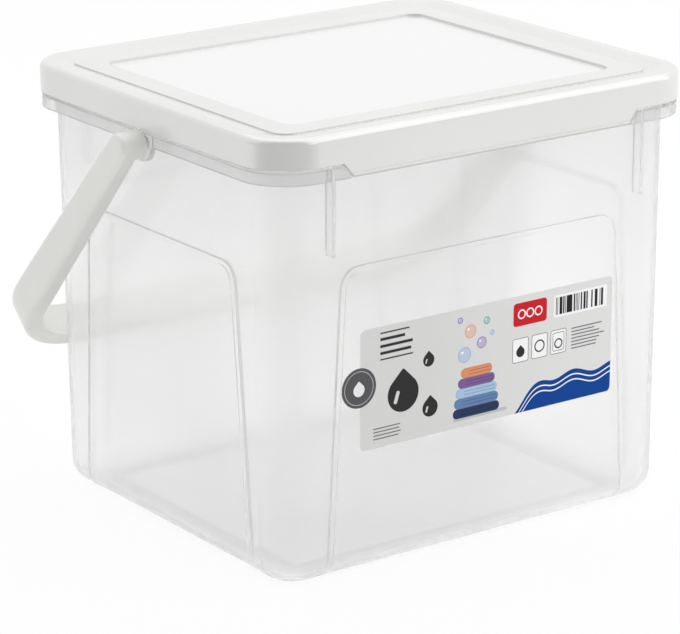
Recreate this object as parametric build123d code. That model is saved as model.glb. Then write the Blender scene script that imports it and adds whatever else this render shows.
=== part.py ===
from build123d import *
from math import acos, atan2, cos, degrees, hypot, radians, sin, tan
import os

# Detergent storage box: a clear moulded tub, a white snap-on lid, a white bail handle and a film label.
# Millimetres. The origin is the middle of the tub's underside, +Z is up, and the label faces -Y.

# Closed box
lid_width = 206.0
lid_depth = 180.0
box_height = 180.0
lid_corner_radius = 21.0

# Lid, from its outer edge inwards
skirt_height = 11.7
skirt_wall = 1.5
crown_edge_radius = 2.4
crown_width = 6.0
crown_wall = 1.8
slope_width = 7.5
slope_drop = 1.5
ledge_width = 11.0
ledge_rise = 0.45
panel_drop = 1.0
lid_panel_radius = 6.0
lid_plate = 1.6
plug_gap = 0.7
plug_wall = 1.3
plug_depth = 4.0

# Pull tab at the middle of the lid's front skirt
tab_width = 142.0
tab_drop = 5.8
tab_slant = 4.6
tab_lip_height = 1.5
tab_lip_depth = 0.4
tab_gap = 0.8

# Tub walls
tub_wall = 1.6
tub_floor = 1.8
draft_angle = 0.57
rim_overhang = 6.0
post_radius = 15.0
base_radius = 10.5
rim_gap = 0.8

# Stacking foot under the tub's floor, a loose fit in the sunk panel of a lid
stack_foot_height = 0.5
stack_foot_play = 2.2

# Sunk panels between the tub's corner posts
panel_recess = 1.5
panel_top = 123.5
panel_corner_radius = 7.0
front_panel_top_width = 130.0
front_panel_foot_width = 144.0
side_panel_top_width = 102.0
side_panel_foot_width = 119.0

# Collar that the lid sits on, and the stacking ribs below it
seat_gap = 0.2
collar_height = 6.0
collar_wall = 1.6
collar_step = 0.5
rib_spacing = 149.0
rib_wall = 1.4
rib_length = 29.5
rib_inset = 0.8

# Pivots of the handle
pivot_below_seat = 6.0
ear_radius = 7.0
ear_wall = 2.0
pin_radius = 3.0
pin_clearance = 0.05
pin_overhang = 1.0
boss_radius = 5.8
skirt_clearance = 0.5

# Handle
boss_length = 2.9
handle_reach = 144.0
arm_wall = 8.0
arm_width = 11.6
grip_wall = 8.0
grip_width = 16.0
handle_bend_radius = 36.0
flare_margin = 8.0
flare_radius = 500.0
handle_edge_radius = 2.2
handle_inner_break = 0.8
hang_gap = 4.176

# Label film on the front panel
label_width = 124.0
label_height = 48.6
label_corner_radius = 2.0
label_film = 0.15
label_shift = 4.2
label_middle = 74.6
badge_radius = 8.0
badge_shift = -58.6
badge_rise = 1.6

# Places that follow from the sizes above
overcut = 1.0
seat_z = box_height - skirt_height
collar_top = seat_z - seat_gap
collar_bottom = collar_top - collar_height
pivot_z = seat_z - pivot_below_seat
channel_roof = box_height - crown_wall
rim_top = channel_roof - rim_gap
draft_slope = tan(radians(draft_angle))
foot_width = lid_width - 2 * rim_overhang - 2 * collar_bottom * draft_slope
foot_depth = lid_depth - 2 * rim_overhang - 2 * collar_bottom * draft_slope
rim_width = lid_width - 2 * rim_overhang
rim_depth = lid_depth - 2 * rim_overhang
rim_radius = post_radius + collar_bottom * draft_slope
collar_face = lid_width / 2 - collar_step
arm_face = lid_width / 2 + skirt_clearance + boss_length + arm_wall
lid_panel_width = lid_width - 2 * (crown_width + slope_width + ledge_width)
lid_panel_depth = lid_depth - 2 * (crown_width + slope_width + ledge_width)


def rounded_block(width, depth, radius, bottom, top):
    """Upright block with a rounded rectangle for its plan."""
    return extrude(Pos(0, 0, bottom) * RectangleRounded(width, depth, radius), top - bottom)


def lid_plan(inset):
    """The lid's outline in plan, drawn in by inset."""
    return RectangleRounded(lid_width - 2 * inset, lid_depth - 2 * inset, lid_corner_radius - inset)


def lid_block(inset, bottom, top):
    """Block whose plan is the lid's outline, drawn in by inset."""
    return extrude(Pos(0, 0, bottom) * lid_plan(inset), top - bottom)


def mouth_block(inset, bottom, top):
    """Block whose plan is the tub's rim, drawn in by inset."""
    return rounded_block(rim_width - 2 * inset, rim_depth - 2 * inset, rim_radius - inset, bottom, top)


def drafted_box(inset, bottom, top):
    """Box with drafted walls, rounded posts and a rounded foot, drawn in by inset."""
    spread = 2 * bottom * draft_slope - 2 * inset
    plan = RectangleRounded(foot_width + spread, foot_depth + spread, post_radius - inset)
    block = extrude(Pos(0, 0, bottom) * plan, top - bottom, taper=-draft_angle)
    foot_edges = block.faces().sort_by(Axis.Z)[0].edges()
    return fillet(foot_edges, base_radius - inset)


def panel_prism(top_width, bottom_width, reach, turn, margin):
    """Prism over one sunk panel, from the middle of the tub outwards."""
    top = panel_top + margin
    half_top = top_width / 2 + margin
    half_foot = bottom_width / 2 + margin
    outline = Polyline(
        (-half_foot, -overcut), (-half_top, top), (half_top, top), (half_foot, -overcut), close=True
    )
    face = make_face(outline)
    face = fillet(face.vertices().group_by(Axis.Y)[-1], panel_corner_radius + margin)
    return Rot(0, 0, turn) * extrude(Plane.XZ * face, reach)


def tub_form(inset, bottom, top):
    """The tub as a full solid: corner posts, with a sunk panel on each side."""
    posts = drafted_box(inset, bottom, top)
    for turn in (0, 180):
        posts -= panel_prism(front_panel_top_width, front_panel_foot_width, lid_depth, turn, inset)
    for turn in (90, 270):
        posts -= panel_prism(side_panel_top_width, side_panel_foot_width, lid_width, turn, inset)
    return posts + drafted_box(inset + panel_recess, bottom, top)


def tab_face(margin, top, foot):
    """Upright face of the pull tab between two heights, its slanted ends moved out by margin."""
    half_top = tab_width / 2 + margin + (top - seat_z) * tab_slant / tab_drop
    half_foot = tab_width / 2 + margin + (foot - seat_z) * tab_slant / tab_drop
    outline = Polyline((-half_top, top), (half_top, top), (half_foot, foot), (-half_foot, foot), close=True)
    return Plane.XZ * make_face(outline)


def make_collar():
    """Ledge and downward lip round the tub, cut away at the front where the pull tab hangs."""
    outer = lid_block(collar_step, collar_bottom, collar_top)
    hollow = lid_block(collar_step + collar_wall, collar_bottom - overcut, collar_top - collar_wall)
    below = collar_bottom - overcut
    above = collar_top + overcut
    finger_gap = extrude(tab_face(tab_gap, above, below), lid_depth)
    finger_gap -= lid_block(skirt_wall + tab_gap, below, above)
    return outer - hollow - finger_gap


def make_ribs():
    """Thin upright ribs under the collar, at the front and the back."""
    reach = lid_depth / 2 - collar_step - rib_inset
    height = collar_top - collar_wall / 2 - (collar_bottom - rib_length)
    rib = Box(rib_wall, reach, height, align=(Align.CENTER, Align.MAX, Align.MIN))
    ribs = Part()
    for side in (-1, 1):
        for turn in (0, 180):
            ribs += Rot(0, 0, turn) * Pos(side * rib_spacing / 2, 0, collar_bottom - rib_length) * rib
    return ribs


def make_ears():
    """Round-ended lugs that hang from the collar and hold the handle's pins."""
    stem = Pos(0, (collar_top + pivot_z) / 2) * Rectangle(2 * ear_radius, collar_top - pivot_z)
    below = Pos(0, pivot_z - ear_radius / 2) * Rectangle(2 * ear_radius, ear_radius)
    face = (Pos(0, pivot_z) * Circle(ear_radius) & below) + stem
    lug = extrude(Plane.YZ * face, ear_wall)
    return Pos(collar_face - ear_wall, 0, 0) * lug + Pos(-collar_face, 0, 0) * lug


def pivot_rod(radius, start, end):
    """A pair of round bars on the pivot axis, mirrored about the middle of the box."""
    bar = Pos(start, 0, pivot_z) * Rot(0, 90, 0) * Cylinder(
        radius, end - start, align=(Align.CENTER, Align.CENTER, Align.MIN)
    )
    return bar + mirror(bar, about=Plane.YZ)


def make_stack_foot():
    """Flat pad that the tub stands on."""
    width = lid_panel_width - 2 * stack_foot_play
    depth = lid_panel_depth - 2 * stack_foot_play
    height = stack_foot_height + tub_floor / 2
    return Box(width, depth, height, align=(Align.CENTER, Align.CENTER, Align.MIN))


def make_tub():
    shell = tub_form(0, stack_foot_height, rim_top) + make_stack_foot()
    shell += make_collar() + make_ribs() + make_ears()
    shell -= tub_form(tub_wall, stack_foot_height + tub_floor, rim_top + overcut)
    return shell - pivot_rod(pin_radius + pin_clearance, collar_face - 2 * ear_wall, collar_face + overcut)


def make_lid():
    slope_foot = box_height - slope_drop
    ledge_top = slope_foot + ledge_rise
    panel_face = ledge_top - panel_drop
    underside = panel_face - lid_plate
    ledge_inset = crown_width + slope_width

    lid = lid_block(0, seat_z, box_height)
    lid = fillet(lid.faces().sort_by(Axis.Z)[-1].edges(), crown_edge_radius)
    slope = loft([
        Pos(0, 0, box_height) * lid_plan(crown_width),
        Pos(0, 0, slope_foot) * lid_plan(ledge_inset),
    ])
    lid -= slope
    lid += lid_block(ledge_inset + ledge_rise, underside, ledge_top)
    lid -= rounded_block(lid_panel_width, lid_panel_depth, lid_panel_radius, panel_face, ledge_top + overcut)

    # The underside is hollow, with a deeper channel for the tub's rim and a lip that drops into its mouth
    plug_inset = tub_wall + plug_gap
    lid -= lid_block(skirt_wall, seat_z - overcut, underside)
    channel = lid_block(skirt_wall, underside - overcut, channel_roof)
    lid -= channel - mouth_block(plug_inset, underside - overcut, channel_roof)
    plug = mouth_block(plug_inset, underside - plug_depth, underside)
    lid += plug - mouth_block(plug_inset + plug_wall, underside - plug_depth, underside)

    tab_foot = seat_z - tab_drop
    tab = extrude(tab_face(0, seat_z, tab_foot), skirt_wall)
    tab += extrude(tab_face(0, tab_foot + tab_lip_height, tab_foot), skirt_wall + tab_lip_depth)
    return lid + Pos(0, skirt_wall - lid_depth / 2, 0) * tab


def bail_outline(inset, reach, radius):
    """Plan of the bail out to its grip, drawn in by inset, its open end past the pivots."""
    half = arm_face - inset
    past_pivot = -arm_width
    corners = [(half, past_pivot), (half, reach), (-half, reach), (-half, past_pivot)]
    plan = make_face(Polyline(*corners, close=True))
    return fillet(plan.vertices().group_by(Axis.Y)[-1], radius)


def bail_flank():
    """The bail seen along the pivot axis: round at the pivot, widening along the arms, even at the grip."""
    half_arm = arm_width / 2
    half_grip = grip_width / 2
    flare_end = handle_reach - handle_bend_radius - flare_margin
    lean = acos(half_arm / hypot(half_grip, flare_end)) - atan2(flare_end, half_grip)
    touch = (-half_arm * sin(lean), half_arm * cos(lean))
    far = handle_reach + overcut
    upper = [touch, (flare_end, half_grip), (far, half_grip)]
    lower = [(u, -width) for u, width in reversed(upper)]
    end = ThreePointArc(lower[-1], (-half_arm, 0), touch)
    face = make_face([Polyline(*upper, *lower), end])
    kinks = [v for v in face.vertices() if abs(v.X - flare_end) < overcut]
    return fillet(kinks, flare_radius)


def hang_angle():
    """Degrees below level at which the grip's lower edge lies hang_gap behind the tub's rim."""
    grip_face = handle_reach - grip_wall
    half_grip = grip_width / 2
    swing = acos((rim_depth / 2 + hang_gap) / hypot(grip_face, half_grip))
    return degrees(swing - atan2(half_grip, grip_face))


def make_handle():
    """Bail with flat arms, modelled standing out along +Y and then turned to where it hangs."""
    plate = extrude(bail_outline(0, handle_reach, handle_bend_radius), grip_width, both=True)
    plate &= extrude(Plane.YZ * bail_flank(), arm_face + overcut, both=True)
    plate = fillet(plate.edges(), handle_edge_radius)
    window = bail_outline(arm_wall, handle_reach - grip_wall, handle_bend_radius - grip_wall)
    middle = extrude(window, grip_width, both=True)
    bail = plate - middle
    bail = chamfer(new_edges(plate, middle, combined=bail), handle_inner_break)
    bail = Pos(0, 0, pivot_z) * Rot(-hang_angle(), 0, 0) * bail

    # Each arm carries a round boss and a pin that snaps into the ear and turns there
    boss_face = lid_width / 2 + skirt_clearance
    bail += pivot_rod(boss_radius, boss_face, arm_face - arm_wall / 2)
    return bail + pivot_rod(pin_radius, collar_face - ear_wall - pin_overhang, boss_face + overcut)


def make_label():
    """Film label with a round end badge, stuck on the sunk front panel."""
    lean = radians(draft_angle)
    panel = Plane(
        origin=(0, panel_recess - foot_depth / 2, 0), x_dir=(1, 0, 0), z_dir=(0, -cos(lean), -sin(lean))
    )
    film = Pos(label_shift, label_middle) * RectangleRounded(label_width, label_height, label_corner_radius)
    film += Pos(badge_shift, label_middle + badge_rise) * Circle(badge_radius)
    return extrude(panel * film, label_film)


def main():
    os.makedirs("parts", exist_ok=True)
    pieces = {
        "container": make_tub(),
        "lid": make_lid(),
        "handle": make_handle(),
        "label": make_label(),
    }
    for node, solid in pieces.items():
        export_step(solid, f"parts/{node}.step")


if __name__ == "__main__":
    main()
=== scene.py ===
from math import cos, radians, sin

import bpy
from bpy.props import FloatProperty, FloatVectorProperty, PointerProperty
from mathutils import Matrix, Vector

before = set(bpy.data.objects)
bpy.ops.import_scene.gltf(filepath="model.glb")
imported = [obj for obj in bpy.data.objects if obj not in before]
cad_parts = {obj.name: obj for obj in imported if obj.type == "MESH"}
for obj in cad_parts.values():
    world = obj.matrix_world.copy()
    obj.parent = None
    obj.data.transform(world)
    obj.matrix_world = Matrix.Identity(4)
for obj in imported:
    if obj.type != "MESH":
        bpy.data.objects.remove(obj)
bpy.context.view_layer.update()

bl_info = {
    "name": "Detergent Storage Box",
    "version": (1, 0, 0),
    "blender": (4, 5, 0),
    "location": "View3D > Sidebar > Storage Box",
    "description": "Dresses the packed storage box in its finishes and sets it on a white studio floor",
    "category": "Object",
}

MILLIMETRES = 1000.0

# Places on the imported solids that the finishes and the painted shadow at the pull tab follow, in metres
# from the middle of the underside
POST_BEND_X = (0.080, 0.088)
POST_BEND_Y = (0.067, 0.075)
FOOT_BEND = (0.005, 0.015)
BASE_TOP = (0.0025, 0.004)
TAB_FOOT = 0.1625
TAB_TOP = 0.1682
TAB_HALF_WIDTH = 0.0664
TAB_SLANT = 0.793
TAB_FOOT_SHADE = (0.0004, 0.0009)
TAB_SIDE_SHADE = (-0.0009, -0.0004)

# Rounded outlines seen from above, in millimetres
LID_PANEL = {"half_size": (78.4, 0, 65.4), "corner": 5.9}
BASE_OUTLINE = {"half_size": (84.5, 0, 71.5), "corner": 8.0}

# Range that most values of a noise lie in
NOISE_MIDDLE = (0.3, 0.7)
WHITE = (1, 1, 1, 1)


def linear(red, green, blue):
    """Colour in the renderer's linear light, from the 0 to 255 levels seen on a screen."""
    def channel(level):
        share = level / 255
        return share / 12.92 if share <= 0.04045 else ((share + 0.055) / 1.055) ** 2.4
    return channel(red), channel(green), channel(blue)


def darker(colour, share):
    """The colour with that share of its light."""
    return tuple(level * share for level in colour)


# Settings

def colour_setting(name, description, levels):
    """Setting for a colour, its default in screen levels."""
    return FloatVectorProperty(
        name=name, description=description, subtype="COLOR", size=3, min=0, max=1, default=linear(*levels)
    )


def share_setting(name, description, default):
    """Setting from 0 to 1."""
    return FloatProperty(
        name=name, description=description, subtype="FACTOR", min=0, max=1, default=default
    )


def unit_setting(name, description, unit, default):
    """Setting with a unit."""
    return FloatProperty(name=name, description=description, unit=unit, default=default)


class TubFinish(bpy.types.PropertyGroup):
    """Finish of the clear container."""
    tint: colour_setting("Tint", "Colour of the clear plastic", (255, 255, 255))
    haze: share_setting("Haze", "How far the moulded wall blurs what lies behind it", 0.12)
    bend_haze: share_setting("Bend haze", "Further haze where the wall is drawn round a corner", 0.1)
    milk: share_setting("Milk", "Share of light that each face of the plastic scatters", 0.2)


class LidFinish(bpy.types.PropertyGroup):
    """Finish of the white lid."""
    colour: colour_setting("Colour", "Colour of the lid", (226, 226, 224))
    # The panel's paler colour is painted light: it stands in for light shining up through the thin middle of
    # the lid
    panel_painted_light: colour_setting("Panel colour", "Colour of the lid's thin middle", (236, 236, 236))
    pearl: share_setting("Pearl", "Strength of the pearly pigment", 0.3)
    gloss_blur: share_setting("Roughness", "Roughness of the polished moulding", 0.2)


class HandleFinish(bpy.types.PropertyGroup):
    """Finish of the white handle."""
    colour: colour_setting("Colour", "Colour of the handle", (226, 226, 223))
    pearl: share_setting("Pearl", "Strength of the pearly pigment", 0.15)
    gloss_blur: share_setting("Roughness", "Roughness of the satin moulding", 0.34)


class LabelPrint(bpy.types.PropertyGroup):
    """Colours printed on the label."""
    ground: colour_setting("Ground", "Label's grey ground at its left end", (207, 207, 206))
    ground_end: colour_setting("Ground end", "Label's grey ground at its right end", (217, 217, 216))
    deep_blue: colour_setting("Deep blue", "Water along the label's foot", (14, 66, 143))
    signal_red: colour_setting("Red", "Small field near the top", (196, 34, 42))
    charcoal: colour_setting("Charcoal", "Drops and dark lines", (50, 49, 50))
    badge: colour_setting("Badge", "Round badge at the left end", (86, 85, 87))


class StageSettings(bpy.types.PropertyGroup):
    """Camera and studio light."""
    azimuth: unit_setting("Azimuth", "Camera's turn to the right of the front", "ROTATION", radians(-35.36))
    elevation: unit_setting("Elevation", "Camera's angle above the floor", "ROTATION", radians(17.43))
    roll: unit_setting("Roll", "Camera's roll", "ROTATION", radians(-0.37))
    lens: unit_setting("Lens", "Focal length for a 36 mm sensor", "CAMERA", 174.545)
    distance: unit_setting("Distance", "From the camera to the middle of the box", "LENGTH", 1.34716)
    aside: unit_setting("Aside", "Camera's step to its right", "LENGTH", -0.0074)
    above: unit_setting("Above", "Camera's step up its own axis", "LENGTH", -0.01605)
    middle: unit_setting("Middle", "Height that the camera is set out from", "LENGTH", 0.09)
    ambient: FloatProperty(name="Ambient", description="Light from all round", min=0, default=0.85)
    key_power: unit_setting("Key power", "Softbox above the box", "POWER", 7.0)
    fill_power: unit_setting("Fill power", "Softbox at the right front", "POWER", 12.0)
    back_power: unit_setting("Back power", "Softbox behind the box", "POWER", 0.38)
    inner_power: unit_setting("Inner power", "Small lamp in the box, towards its far corner", "POWER", 0.12)


# Nodes

def feed(tree, socket, value):
    """Links another node's socket to this one, or sets this one's own value."""
    if isinstance(value, bpy.types.NodeSocket):
        tree.links.new(value, socket)
    else:
        socket.default_value = value


def add(tree, kind, inputs=None, **settings):
    """A node of that kind, its sockets fed by label or index and its own settings made."""
    node = tree.nodes.new(kind)
    for name, value in settings.items():
        setattr(node, name, value)
    for name, value in (inputs or {}).items():
        feed(tree, node.inputs[name], value)
    return node


def math(tree, operation, *values):
    """Result of a Math node."""
    return add(tree, "ShaderNodeMath", operation=operation, inputs=dict(enumerate(values))).outputs[0]


def vector_math(tree, operation, *values):
    """Result of a Vector Math node."""
    node = add(tree, "ShaderNodeVectorMath", operation=operation, inputs=dict(enumerate(values)))
    return node.outputs["Value" if operation in {"LENGTH", "DOT_PRODUCT"} else "Vector"]


def ramp(tree, value, start, end, low, high):
    """Smooth change from low to high as value goes from start to end."""
    node = add(tree, "ShaderNodeMapRange", interpolation_type="SMOOTHSTEP", inputs={
        "Value": value, "From Min": start, "From Max": end, "To Min": low, "To Max": high,
    })
    return node.outputs["Result"]


def blend_colours(tree, share, first, second):
    """Mix of two colours."""
    node = add(tree, "ShaderNodeMix", data_type="RGBA", inputs={0: share})
    for index, colour in ((6, first), (7, second)):
        linked = isinstance(colour, bpy.types.NodeSocket)
        feed(tree, node.inputs[index], colour if linked else (*colour, 1))
    return node.outputs[2]


def blend_shaders(tree, share, first, second):
    """Mix of two shaders."""
    return add(tree, "ShaderNodeMixShader", inputs={0: share, 1: first, 2: second}).outputs[0]


def parts_of(tree, vector):
    """X, Y and Z of a vector."""
    return add(tree, "ShaderNodeSeparateXYZ", inputs={0: vector}).outputs


def object_place(tree):
    """Object coordinates, in metres."""
    return add(tree, "ShaderNodeTexCoord").outputs["Object"]


def new_group(name, inputs, outputs):
    """Empty node group with its sockets, and its input and output nodes."""
    tree = bpy.data.node_groups.new(name, "ShaderNodeTree")
    for label, kind, default in inputs:
        socket = tree.interface.new_socket(label, in_out="INPUT", socket_type=kind)
        socket.default_value = default
    for label, kind in outputs:
        tree.interface.new_socket(label, in_out="OUTPUT", socket_type=kind)
    return tree, tree.nodes.new("NodeGroupInput").outputs, tree.nodes.new("NodeGroupOutput").inputs


def place_group(tree, group, **inputs):
    """Outputs of a group node placed in tree."""
    node = add(tree, "ShaderNodeGroup", node_tree=group)
    for label, value in inputs.items():
        feed(tree, node.inputs[label.replace("_", " ").title()], value)
    return node.outputs


def moulded_skin_group():
    """Surface of an injection moulding: fine grain left by the tool, and slow flow marks."""
    existing = bpy.data.node_groups.get("Moulded Skin")
    if existing:
        return existing
    tree, given, result = new_group(
        "Moulded Skin",
        [("Grain Size", "NodeSocketFloat", 0.6), ("Flow Size", "NodeSocketFloat", 40.0)],
        [("Grain", "NodeSocketFloat"), ("Flow", "NodeSocketFloat")],
    )
    place = object_place(tree)
    for label, size, detail in (("Grain", "Grain Size", 2.0), ("Flow", "Flow Size", 3.0)):
        scale = math(tree, "DIVIDE", MILLIMETRES, given[size])
        noise = add(tree, "ShaderNodeTexNoise", inputs={"Vector": place, "Scale": scale, "Detail": detail})
        tree.links.new(noise.outputs["Fac"], result[label])
    return tree


PRINT_BLUR = 0.06


def print_shape_group():
    """Masks of a rounded rectangle and of the line round it. With a corner of its half size it is a disc."""
    existing = bpy.data.node_groups.get("Print Shape")
    if existing:
        return existing
    tree, given, result = new_group(
        "Print Shape",
        [
            ("Point", "NodeSocketVector", (0, 0, 0)),
            ("Centre", "NodeSocketVector", (0, 0, 0)),
            ("Half Size", "NodeSocketVector", (5, 0, 5)),
            ("Corner", "NodeSocketFloat", 1.0),
            ("Line", "NodeSocketFloat", 0.3),
        ],
        [("Fill", "NodeSocketFloat"), ("Outline", "NodeSocketFloat")],
    )
    away = vector_math(tree, "ABSOLUTE", vector_math(tree, "SUBTRACT", given["Point"], given["Centre"]))
    straight = vector_math(tree, "SUBTRACT", given["Half Size"], given["Corner"])
    past = vector_math(tree, "MAXIMUM", vector_math(tree, "SUBTRACT", away, straight), (0, 0, 0))
    in_plane = vector_math(tree, "MULTIPLY", past, (1, 0, 1))
    distance = math(tree, "SUBTRACT", vector_math(tree, "LENGTH", in_plane), given["Corner"])
    from_line = math(tree, "SUBTRACT", math(tree, "ABSOLUTE", distance), given["Line"])
    for label, beyond in (("Fill", distance), ("Outline", from_line)):
        tree.links.new(ramp(tree, beyond, -PRINT_BLUR, PRINT_BLUR, 1.0, 0.0), result[label])
    return tree


def plan_mask(tree, spot, outline):
    """1 inside a rounded outline that is seen from above and centred on the box."""
    plan = add(tree, "ShaderNodeCombineXYZ", inputs={"X": spot["X"], "Z": spot["Y"]}).outputs[0]
    point = vector_math(tree, "MULTIPLY", plan, (MILLIMETRES, 0, MILLIMETRES))
    return place_group(tree, print_shape_group(), point=point, **outline)["Fill"]


# Finishes

def new_material(name):
    """Material with an empty tree but for its Principled shader and output."""
    material = bpy.data.materials.new(name)
    material.use_nodes = True
    tree = material.node_tree
    tree.nodes.clear()
    shader = add(tree, "ShaderNodeBsdfPrincipled")
    output = add(tree, "ShaderNodeOutputMaterial")
    tree.links.new(shader.outputs["BSDF"], output.inputs["Surface"])
    return material, tree, shader.inputs


def skin_bump(tree, grain, depth, edge_radius=0.0):
    """Normal of a surface whose grain is that deep and whose edges are that round, in metres."""
    bump = add(tree, "ShaderNodeBump", inputs={"Height": grain, "Distance": depth, "Strength": 1.0})
    if edge_radius:
        rounded = add(tree, "ShaderNodeBevel", samples=6, inputs={"Radius": edge_radius})
        tree.links.new(rounded.outputs["Normal"], bump.inputs["Normal"])
    return bump.outputs["Normal"]


def clouded(tree, flow, colour, share):
    """The colour, with that share of its light where the plastic flowed together."""
    cloud = ramp(tree, flow, *NOISE_MIDDLE, 0.0, 1.0)
    return blend_colours(tree, cloud, colour, darker(colour, share))


def white_gloss(tree, shader, finish, grain, spread, depth):
    """Roughness, grain and pearl of a white moulding. The grain varies the roughness by the spread."""
    low, high = (finish.gloss_blur * share for share in spread)
    tree.links.new(ramp(tree, grain, *NOISE_MIDDLE, low, high), shader["Roughness"])
    tree.links.new(skin_bump(tree, grain, depth), shader["Normal"])
    shader["Metallic"].default_value = finish.pearl
    shader["IOR"].default_value = 1.49


def give_finish(node, material):
    """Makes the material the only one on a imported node's mesh."""
    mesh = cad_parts[node].data
    mesh.materials.clear()
    mesh.materials.append(material)


class STORAGEBOX_OT_tub(bpy.types.Operator):
    """Gives the container its clear, slightly milky plastic"""
    bl_idname = "storagebox.tub"
    bl_label = "Container"

    def execute(self, context):
        finish = context.scene.storage_tub
        material, tree, shader = new_material("clear_polypropylene")
        skin = place_group(tree, moulded_skin_group(), grain_size=1.4, flow_size=55.0)
        spot = parts_of(tree, object_place(tree))

        # The wall is hazier where it is drawn round the corner posts and the foot
        round_x = ramp(tree, math(tree, "ABSOLUTE", spot["X"]), *POST_BEND_X, 0.0, 1.0)
        round_y = ramp(tree, math(tree, "ABSOLUTE", spot["Y"]), *POST_BEND_Y, 0.0, 1.0)
        round_foot = ramp(tree, spot["Z"], *FOOT_BEND, 1.0, 0.0)
        bend = math(tree, "MAXIMUM", math(tree, "MULTIPLY", round_x, round_y), round_foot)
        even_haze = ramp(tree, skin["Flow"], *NOISE_MIDDLE, finish.haze * 0.8, finish.haze * 1.2)
        haze = math(tree, "MULTIPLY_ADD", bend, finish.bend_haze, even_haze)
        tree.links.new(haze, shader["Roughness"])
        cloud = ramp(tree, skin["Flow"], 0.25, 0.75, 0.0, 1.0)
        tint = blend_colours(tree, cloud, finish.tint, darker(finish.tint, 0.99))
        tree.links.new(tint, shader["Base Color"])
        tree.links.new(skin_bump(tree, skin["Grain"], 0.000004, edge_radius=0.0008), shader["Normal"])
        shader["Transmission Weight"].default_value = 1.0
        shader["IOR"].default_value = 1.46

        # Milky veil of light scattered in the wall
        output = next(node for node in tree.nodes if node.type == "OUTPUT_MATERIAL")
        clear = output.inputs["Surface"].links[0].from_socket
        veil = add(tree, "ShaderNodeBsdfTranslucent", inputs={"Color": WHITE}).outputs[0]
        milky = blend_shaders(tree, finish.milk, clear, veil)

        # Lamplight shines through the wall, and less of it through the base
        above_base = ramp(tree, spot["Z"], *BASE_TOP, 0.0, 1.0)
        passed = blend_colours(tree, above_base, (0.78, 0.78, 0.78), (0.99, 0.99, 0.99))
        through = add(tree, "ShaderNodeBsdfTransparent", inputs={"Color": passed}).outputs[0]
        rays = add(tree, "ShaderNodeLightPath").outputs
        lamplight = math(tree, "MAXIMUM", rays["Is Shadow Ray"], rays["Is Diffuse Ray"])
        tree.links.new(blend_shaders(tree, lamplight, milky, through), output.inputs["Surface"])
        give_finish("container", material)
        return {"FINISHED"}


def painted_tab_shadow(tree, spot):
    """Mask of painted shadow: 1 along the foot and the slanted ends of the lid's pull tab, where the gap
    under the tab is in shade.
    """
    above_foot = math(tree, "SUBTRACT", spot["Z"], TAB_FOOT)
    half_width = math(tree, "MULTIPLY_ADD", above_foot, TAB_SLANT, TAB_HALF_WIDTH)
    past_end = math(tree, "SUBTRACT", math(tree, "ABSOLUTE", spot["X"]), half_width)
    foot = ramp(tree, above_foot, *TAB_FOOT_SHADE, 1.0, 0.0)
    ends = ramp(tree, past_end, *TAB_SIDE_SHADE, 0.0, 1.0)
    on_tab = math(tree, "LESS_THAN", spot["Z"], TAB_TOP)
    return math(tree, "MULTIPLY", math(tree, "MAXIMUM", foot, ends), on_tab)


class STORAGEBOX_OT_lid(bpy.types.Operator):
    """Gives the lid its pearly white gloss"""
    bl_idname = "storagebox.lid"
    bl_label = "Lid"

    def execute(self, context):
        finish = context.scene.storage_lid
        material, tree, shader = new_material("pearl_white_lid")
        skin = place_group(tree, moulded_skin_group(), grain_size=0.7, flow_size=60.0)
        spot = parts_of(tree, object_place(tree))
        body = clouded(tree, skin["Flow"], finish.colour, 0.97)
        # Painted light: the thin middle is paler, where light would shine through it
        body = blend_colours(tree, plan_mask(tree, spot, LID_PANEL), body, finish.panel_painted_light)
        # Painted shadow: the lid's colour darkened along the pull tab's foot and slanted ends
        body = blend_colours(tree, painted_tab_shadow(tree, spot), body, darker(finish.colour, 0.72))
        tree.links.new(body, shader["Base Color"])
        white_gloss(tree, shader, finish, skin["Grain"], spread=(0.9, 1.15), depth=0.000006)
        give_finish("lid", material)
        return {"FINISHED"}


class STORAGEBOX_OT_handle(bpy.types.Operator):
    """Gives the handle its white satin plastic"""
    bl_idname = "storagebox.handle"
    bl_label = "Handle"

    def execute(self, context):
        finish = context.scene.storage_handle
        material, tree, shader = new_material("white_satin_handle")
        skin = place_group(tree, moulded_skin_group(), grain_size=0.5, flow_size=35.0)
        tree.links.new(clouded(tree, skin["Flow"], finish.colour, 0.96), shader["Base Color"])
        white_gloss(tree, shader, finish, skin["Grain"], spread=(0.88, 1.12), depth=0.00001)
        give_finish("handle", material)
        return {"FINISHED"}


# Label

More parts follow.
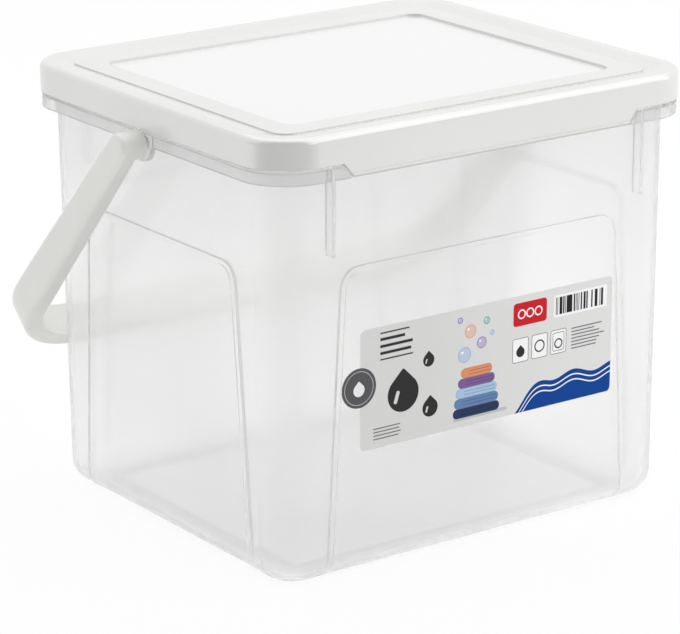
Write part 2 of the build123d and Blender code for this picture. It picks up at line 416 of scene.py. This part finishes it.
class LabelArtist:
    """Lays printed shapes over the label's ground, one after the other. Lengths are in millimetres."""

    def __init__(self, tree, ground):
        self.tree = tree
        self.colour = ground
        self.point = vector_math(tree, "MULTIPLY", object_place(tree), (MILLIMETRES, 0, MILLIMETRES))
        parts = parts_of(tree, self.point)
        self.across = parts["X"]
        self.up = parts["Z"]

    def shape(self, x, z, half_width, half_height, corner, line=0.3, turn=0.0, about=None):
        """Fill and outline masks of a shape with its middle at x and z, turned by degrees about a point."""
        point = self.point
        centre = (x, 0, z)
        if turn:
            point = add(self.tree, "ShaderNodeVectorRotate", rotation_type="Y_AXIS", inputs={
                "Vector": point, "Center": about or centre, "Angle": radians(turn),
            }).outputs["Vector"]
        masks = place_group(
            self.tree, print_shape_group(), point=point, centre=centre,
            half_size=(half_width, 0, half_height), corner=corner, line=line,
        )
        return masks["Fill"], masks["Outline"]

    def disc(self, x, z, radius, line=0.3):
        """Fill and outline masks of a disc."""
        return self.shape(x, z, radius, radius, radius, line)

    def drop(self, x, z, radius):
        """Mask of a drop with its point upwards."""
        disc, _ = self.disc(x, z, radius)
        half = radius / 2
        tip, _ = self.shape(x + half, z + half, half, half, radius * 0.12, turn=45, about=(x, 0, z))
        return math(self.tree, "MAXIMUM", disc, tip)

    def chance(self, number):
        """Value from 0 to 1 that is settled for each whole number."""
        noise = add(self.tree, "ShaderNodeTexWhiteNoise", noise_dimensions="1D", inputs={"W": number})
        return noise.outputs["Value"]

    def lines(self, x, z, half_width, half_height, pitch, weight):
        """Mask of a block of lines of uneven length. Each takes up the weight's share of its pitch."""
        tree = self.tree
        block, _ = self.shape(x, z, half_width, half_height, 0.1)
        row = math(tree, "DIVIDE", self.up, pitch)
        in_row = math(tree, "ABSOLUTE", math(tree, "SUBTRACT", math(tree, "FRACT", row), 0.5))
        stripe = ramp(tree, in_row, weight / 2 - PRINT_BLUR, weight / 2 + PRINT_BLUR, 1.0, 0.0)
        chance = self.chance(math(tree, "FLOOR", row))
        reach = math(tree, "MULTIPLY_ADD", chance, half_width * 0.8, x + half_width * 0.2)
        within = ramp(tree, math(tree, "SUBTRACT", self.across, reach), -0.1, 0.1, 1.0, 0.0)
        return math(tree, "MULTIPLY", math(tree, "MULTIPLY", block, stripe), within)

    def bars(self, x, z, half_width, half_height, pitch):
        """Mask of a strip of upright bars of uneven weight."""
        block, _ = self.shape(x, z, half_width, half_height, 0.1)
        number = math(self.tree, "FLOOR", math(self.tree, "DIVIDE", self.across, pitch))
        bar = math(self.tree, "LESS_THAN", self.chance(number), 0.5)
        return math(self.tree, "MULTIPLY", block, bar)

    def lay(self, mask, colour, strength=None):
        """Prints a colour where the mask is, at full strength or as a tint."""
        if strength:
            mask = math(self.tree, "MULTIPLY", mask, strength)
        self.colour = blend_colours(self.tree, mask, self.colour, colour)


PAPER_WHITE = linear(238, 238, 238)
GREY_PRINT = linear(112, 112, 114)


def print_badge(art, ink):
    """Grey badge with a ring and a drop, on the label's round end."""
    x, z = -58.6, 76.2
    badge, _ = art.disc(x, z, 8.05)
    art.lay(badge, ink.badge)
    _, ring = art.disc(x, z, 6.7, line=0.12)
    art.lay(ring, linear(190, 190, 192))
    art.lay(art.drop(x, z - 0.8, 2.6), linear(226, 226, 228))


def print_drops(art, ink):
    """Charcoal drops with a gleam on each."""
    for x, z, radius in ((-37.6, 70.0, 7.4), (-24.6, 61.6, 3.7), (-25.4, 81.2, 2.7)):
        art.lay(art.drop(x, z, radius), ink.charcoal)
        gleam, _ = art.shape(
            x - radius * 0.42, z - radius * 0.14, radius * 0.11, radius * 0.36, radius * 0.1, turn=-18
        )
        art.lay(gleam, ink.ground)


def print_towels(art, x, foot):
    """Folded towels in a stack, the widest at the foot, on a soft shadow."""
    towels = (
        (11.4, (44, 58, 92)), (10.8, (96, 128, 172)), (10.0, (160, 188, 214)),
        (9.0, (122, 92, 146)), (7.6, (214, 140, 100)),
    )
    half_fold = 1.95
    shadow, _ = art.shape(x + 2.0, foot, 13.4, 0.75, 0.74)
    art.lay(shadow, linear(120, 120, 124), strength=0.35)
    for step, (half_width, levels) in enumerate(towels):
        z = foot + 2.3 + step * 2 * half_fold * 1.04
        cloth = linear(*levels)
        fold, edge = art.shape(x, z, half_width, half_fold, half_fold - 0.05, line=0.12)
        art.lay(fold, cloth)
        art.lay(edge, darker(cloth, 0.4), strength=0.5)
        for rise in (-0.7, 0.6):
            crease, _ = art.shape(x + 1.6, z + rise, half_width - 2.4, 0.16, 0.15)
            art.lay(crease, darker(cloth, 0.62))


def print_bubbles(art, x, foot):
    """Soap bubbles that rise above the towels."""
    sky, violet, peach, sea = (150, 178, 214), (150, 128, 190), (222, 156, 120), (110, 168, 170)
    bubbles = (
        (-6.0, 26.1, 3.0, sky), (2.4, 29.7, 2.2, violet), (-3.2, 35.3, 2.6, peach),
        (4.8, 38.3, 1.4, sea), (-8.2, 40.5, 1.1, violet), (7.6, 32.9, 0.9, sky),
    )
    for aside, rise, radius, levels in bubbles:
        film = linear(*levels)
        inside, edge = art.disc(x + aside, foot + rise, radius, line=0.2)
        art.lay(inside, film, strength=0.5)
        art.lay(edge, film)
        glint, _ = art.disc(x + aside - radius * 0.35, foot + rise + radius * 0.35, radius * 0.2)
        art.lay(glint, PAPER_WHITE)


def print_water(art, ink):
    """Deep blue water that rises along the label's foot, with white lines under its crest."""
    tree = art.tree
    swell = math(tree, "SINE", math(tree, "MULTIPLY", art.across, 0.3))
    crest = math(tree, "MULTIPLY_ADD", swell, 1.3, ramp(tree, art.across, 8.0, 34.0, 47.0, 62.0))
    above = math(tree, "SUBTRACT", art.up, crest)
    art.lay(ramp(tree, above, -0.08, 0.08, 1.0, 0.0), ink.deep_blue)
    for depth in (2.2, 4.4):
        away = math(tree, "ABSOLUTE", math(tree, "ADD", above, depth))
        art.lay(ramp(tree, away, 0.2, 0.34, 1.0, 0.0), PAPER_WHITE)


def print_red_field(art, ink):
    """Red field with white rings."""
    x, z = 24.4, 91.2
    field, _ = art.shape(x, z, 8.4, 4.8, 1.4)
    art.lay(field, ink.signal_red)
    for aside in (-4.2, 0.0, 4.2):
        _, ring = art.disc(x + aside, z, 1.7, line=0.3)
        art.lay(ring, PAPER_WHITE)


def print_bar_strip(art):
    """White strip with upright bars."""
    x, z = 50.0, 91.2
    strip, _ = art.shape(x, z, 13.6, 4.6, 0.5)
    art.lay(strip, PAPER_WHITE)
    art.lay(art.bars(x, z, 12.6, 3.6, pitch=0.36), linear(38, 38, 40))


def print_signs(art, ink):
    """Framed signs: a drop, a ring and a washing machine."""
    z = 76.4
    drop_x, ring_x, washer_x = 19.8, 29.4, 39.0
    for x in (drop_x, ring_x, washer_x):
        sign, edge = art.shape(x, z, 3.9, 4.9, 0.8, line=0.14)
        art.lay(sign, PAPER_WHITE)
        art.lay(edge, GREY_PRINT)
    art.lay(art.drop(drop_x, z - 0.8, 2.1), ink.charcoal)
    _, ring = art.disc(ring_x, z, 2.3)
    _, washer = art.shape(washer_x, z, 2.8, 3.7, 0.4, line=0.12)
    _, door = art.disc(washer_x, z - 0.8, 1.8)
    for mark in (ring, washer, door):
        art.lay(mark, ink.charcoal)


def print_line_blocks(art, ink):
    """Blocks of plain lines."""
    art.lay(art.lines(-39.6, 91.0, 9.0, 5.6, pitch=2.8, weight=0.42), ink.charcoal)
    art.lay(art.lines(-42.4, 55.8, 9.4, 2.8, pitch=1.4, weight=0.36), GREY_PRINT)
    art.lay(art.lines(55.0, 76.4, 9.4, 4.9, pitch=1.4, weight=0.36), GREY_PRINT)


class STORAGEBOX_OT_label(bpy.types.Operator):
    """Prints the label film with drops, folded towels and water"""
    bl_idname = "storagebox.label"
    bl_label = "Label"

    def execute(self, context):
        ink = context.scene.storage_label
        material, tree, shader = new_material("printed_label_film")
        along = ramp(tree, parts_of(tree, object_place(tree))["X"], -0.05, 0.06, 0.0, 1.0)
        art = LabelArtist(tree, blend_colours(tree, along, ink.ground, ink.ground_end))
        print_badge(art, ink)
        print_drops(art, ink)
        print_towels(art, x=-2.0, foot=53.7)
        print_bubbles(art, x=-2.0, foot=53.7)
        print_water(art, ink)
        print_red_field(art, ink)
        print_bar_strip(art)
        print_signs(art, ink)
        print_line_blocks(art, ink)

        # The stuck side is plain white film
        normal = add(tree, "ShaderNodeNewGeometry").outputs["Normal"]
        stuck_side = math(tree, "GREATER_THAN", parts_of(tree, normal)["Y"], 0.5)
        art.lay(stuck_side, linear(226, 226, 226))
        tree.links.new(art.colour, shader["Base Color"])
        skin = place_group(tree, moulded_skin_group(), grain_size=2.4, flow_size=30.0)
        tree.links.new(ramp(tree, skin["Flow"], *NOISE_MIDDLE, 0.3, 0.42), shader["Roughness"])
        shader["Specular IOR Level"].default_value = 0.06
        tree.links.new(skin_bump(tree, skin["Grain"], 0.000004), shader["Normal"])
        give_finish("label", material)
        return {"FINISHED"}


# Stage

def ray_kinds(tree):
    """1 for rays that see the stage directly, in a reflection or through the clear plastic."""
    rays = add(tree, "ShaderNodeLightPath").outputs
    return rays["Is Camera Ray"], rays["Is Glossy Ray"], rays["Is Transmission Ray"]


def camera_axes(stage):
    """The camera's right, up and backward directions."""
    turn, rise, roll = stage.azimuth, stage.elevation, stage.roll
    back = Vector((sin(turn) * cos(rise), -cos(turn) * cos(rise), sin(rise)))
    level = Vector((cos(turn), sin(turn), 0))
    upright = level.cross(-back)
    right = cos(roll) * level + sin(roll) * upright
    up = cos(roll) * upright - sin(roll) * level
    return right, up, back


def make_camera(stage):
    """Camera at the photograph's viewing angle."""
    right, up, back = camera_axes(stage)
    eye = Vector((0, 0, stage.middle)) + stage.aside * right + stage.above * up + stage.distance * back
    data = bpy.data.cameras.new("photo_camera")
    data.lens = stage.lens
    data.sensor_width = 36.0
    data.clip_start = 0.05
    data.clip_end = 100.0
    camera = bpy.data.objects.new("photo_camera", data)
    turn = Matrix((right, up, back)).transposed().to_4x4()
    camera.matrix_world = Matrix.Translation(eye) @ turn
    bpy.context.collection.objects.link(camera)
    bpy.context.scene.camera = camera


def make_softbox(name, power, place, target, size, mirrored=True):
    """Square lamp aimed at a target, unseen itself but for its reflection."""
    data = bpy.data.lights.new(name, "AREA")
    data.shape = "SQUARE"
    data.size = size
    data.energy = power
    lamp = bpy.data.objects.new(name, data)
    aim = Vector(target) - Vector(place)
    lamp.location = place
    lamp.rotation_euler = aim.to_track_quat("-Z", "Y").to_euler()
    lamp.visible_camera = False
    lamp.visible_transmission = False
    lamp.visible_glossy = mirrored
    bpy.context.collection.objects.link(lamp)


def make_floor(stage):
    """White floor that takes the box's shadow. Its reflection darkens towards the studio's unlit side."""
    material = bpy.data.materials.new("white_floor")
    material.use_nodes = True
    tree = material.node_tree
    tree.nodes.clear()
    place = object_place(tree)
    _, _, back = camera_axes(stage)
    unlit_side = Vector((back.x, back.y, 0)).normalized()
    forward = vector_math(tree, "DOT_PRODUCT", place, tuple(unlit_side))
    unlit = ramp(tree, forward, 0.25, 0.6, 0.0, 0.9)
    direct, mirrored, through = ray_kinds(tree)
    level = math(tree, "SUBTRACT", 1.0, math(tree, "MULTIPLY", mirrored, unlit))

    # White to the eye, but through the plastic the board itself shows under the box
    white_to_eye = math(tree, "MULTIPLY", math(tree, "MAXIMUM", direct, mirrored), 0.9)
    under_box = plan_mask(tree, parts_of(tree, place), BASE_OUTLINE)
    white_through = math(tree, "MULTIPLY", through, ramp(tree, under_box, 0.0, 1.0, 0.97, 0.0))
    share = math(tree, "MAXIMUM", white_to_eye, white_through)
    board = add(tree, "ShaderNodeBsdfDiffuse", inputs={"Color": (0.88, 0.88, 0.88, 1)}).outputs[0]
    glow = add(tree, "ShaderNodeEmission", inputs={"Color": WHITE, "Strength": level}).outputs[0]
    add(tree, "ShaderNodeOutputMaterial", inputs={"Surface": blend_shaders(tree, share, board, glow)})
    reach = 12.0
    corners = [(-reach, -reach, 0), (reach, -reach, 0), (reach, reach, 0), (-reach, reach, 0)]
    mesh = bpy.data.meshes.new("studio_floor")
    mesh.from_pydata(corners, [], [(0, 1, 2, 3)])
    mesh.materials.append(material)
    floor = bpy.data.objects.new("studio_floor", mesh)
    bpy.context.collection.objects.link(floor)


def make_world(stage):
    """White all round, with the studio's unlit side on the side that the photograph was taken from."""
    world = bpy.data.worlds.new("white_studio")
    world.use_nodes = True
    tree = world.node_tree
    tree.nodes.clear()
    direction = add(tree, "ShaderNodeTexCoord").outputs["Generated"]
    _, _, back = camera_axes(stage)
    unlit_side = Vector((back.x, back.y, 0.12)).normalized()
    facing = vector_math(tree, "DOT_PRODUCT", direction, tuple(unlit_side))
    direct, mirrored, through = ray_kinds(tree)
    white = math(tree, "MAXIMUM", direct, math(tree, "MULTIPLY", through, 0.99))
    reflected = math(tree, "MULTIPLY", mirrored, ramp(tree, facing, 0.2, 0.85, 1.0, 0.15))
    level = math(tree, "MAXIMUM", white, reflected)
    seen = math(tree, "MAXIMUM", white, mirrored)
    strength = add(tree, "ShaderNodeMix", data_type="FLOAT", inputs={0: seen, 2: stage.ambient, 3: level})
    background = add(tree, "ShaderNodeBackground", inputs={"Color": WHITE, "Strength": strength.outputs[0]})
    add(tree, "ShaderNodeOutputWorld", inputs={"Surface": background.outputs[0]})
    bpy.context.scene.world = world


class STORAGEBOX_OT_stage(bpy.types.Operator):
    """Sets up the white floor, the soft light and the camera"""
    bl_idname = "storagebox.stage"
    bl_label = "Stage"

    def execute(self, context):
        stage = context.scene.storage_stage
        context.scene.view_settings.view_transform = "Standard"
        make_floor(stage)
        make_world(stage)
        middle = (0, 0, stage.middle)
        far_corner = (0.1, 0.08, 0.09)
        make_softbox("key_softbox", stage.key_power, (0.35, 0.3, 1.6), middle, size=2.2)
        make_softbox("fill_softbox", stage.fill_power, (1.2, -1.4, 1.0), middle, size=2.3)
        make_softbox(
            "back_softbox", stage.back_power, (-0.1, 0.7, 0.2), middle, size=0.3, mirrored=False
        )
        make_softbox(
            "inner_softbox", stage.inner_power, (-0.03, -0.03, 0.1), far_corner, size=0.1, mirrored=False
        )
        make_camera(stage)
        return {"FINISHED"}


OPERATORS = (
    STORAGEBOX_OT_tub,
    STORAGEBOX_OT_lid,
    STORAGEBOX_OT_handle,
    STORAGEBOX_OT_label,
    STORAGEBOX_OT_stage,
)

SETTINGS = {
    "storage_tub": TubFinish,
    "storage_lid": LidFinish,
    "storage_handle": HandleFinish,
    "storage_label": LabelPrint,
    "storage_stage": StageSettings,
}


class STORAGEBOX_PT_panel(bpy.types.Panel):
    """Lists the box's pieces and their settings"""
    bl_idname = "STORAGEBOX_PT_panel"
    bl_label = "Storage Box"
    bl_space_type = "VIEW_3D"
    bl_region_type = "UI"
    bl_category = "Storage Box"

    def draw(self, context):
        for operator, owner in zip(OPERATORS, SETTINGS):
            box = self.layout.box()
            settings = getattr(context.scene, owner)
            for name in settings.bl_rna.properties.keys():
                if name not in {"rna_type", "name"}:
                    box.prop(settings, name)
            box.operator(operator.bl_idname)


CLASSES = (*SETTINGS.values(), *OPERATORS, STORAGEBOX_PT_panel)


def register():
    for cls in CLASSES:
        bpy.utils.register_class(cls)
    for owner, group in SETTINGS.items():
        setattr(bpy.types.Scene, owner, PointerProperty(type=group))


def unregister():
    for owner in SETTINGS:
        delattr(bpy.types.Scene, owner)
    for cls in reversed(CLASSES):
        bpy.utils.unregister_class(cls)


def main():
    register()
    for operator in OPERATORS:
        section, call = operator.bl_idname.split(".")
        getattr(getattr(bpy.ops, section), call)()


if __name__ == "__main__":
    main()
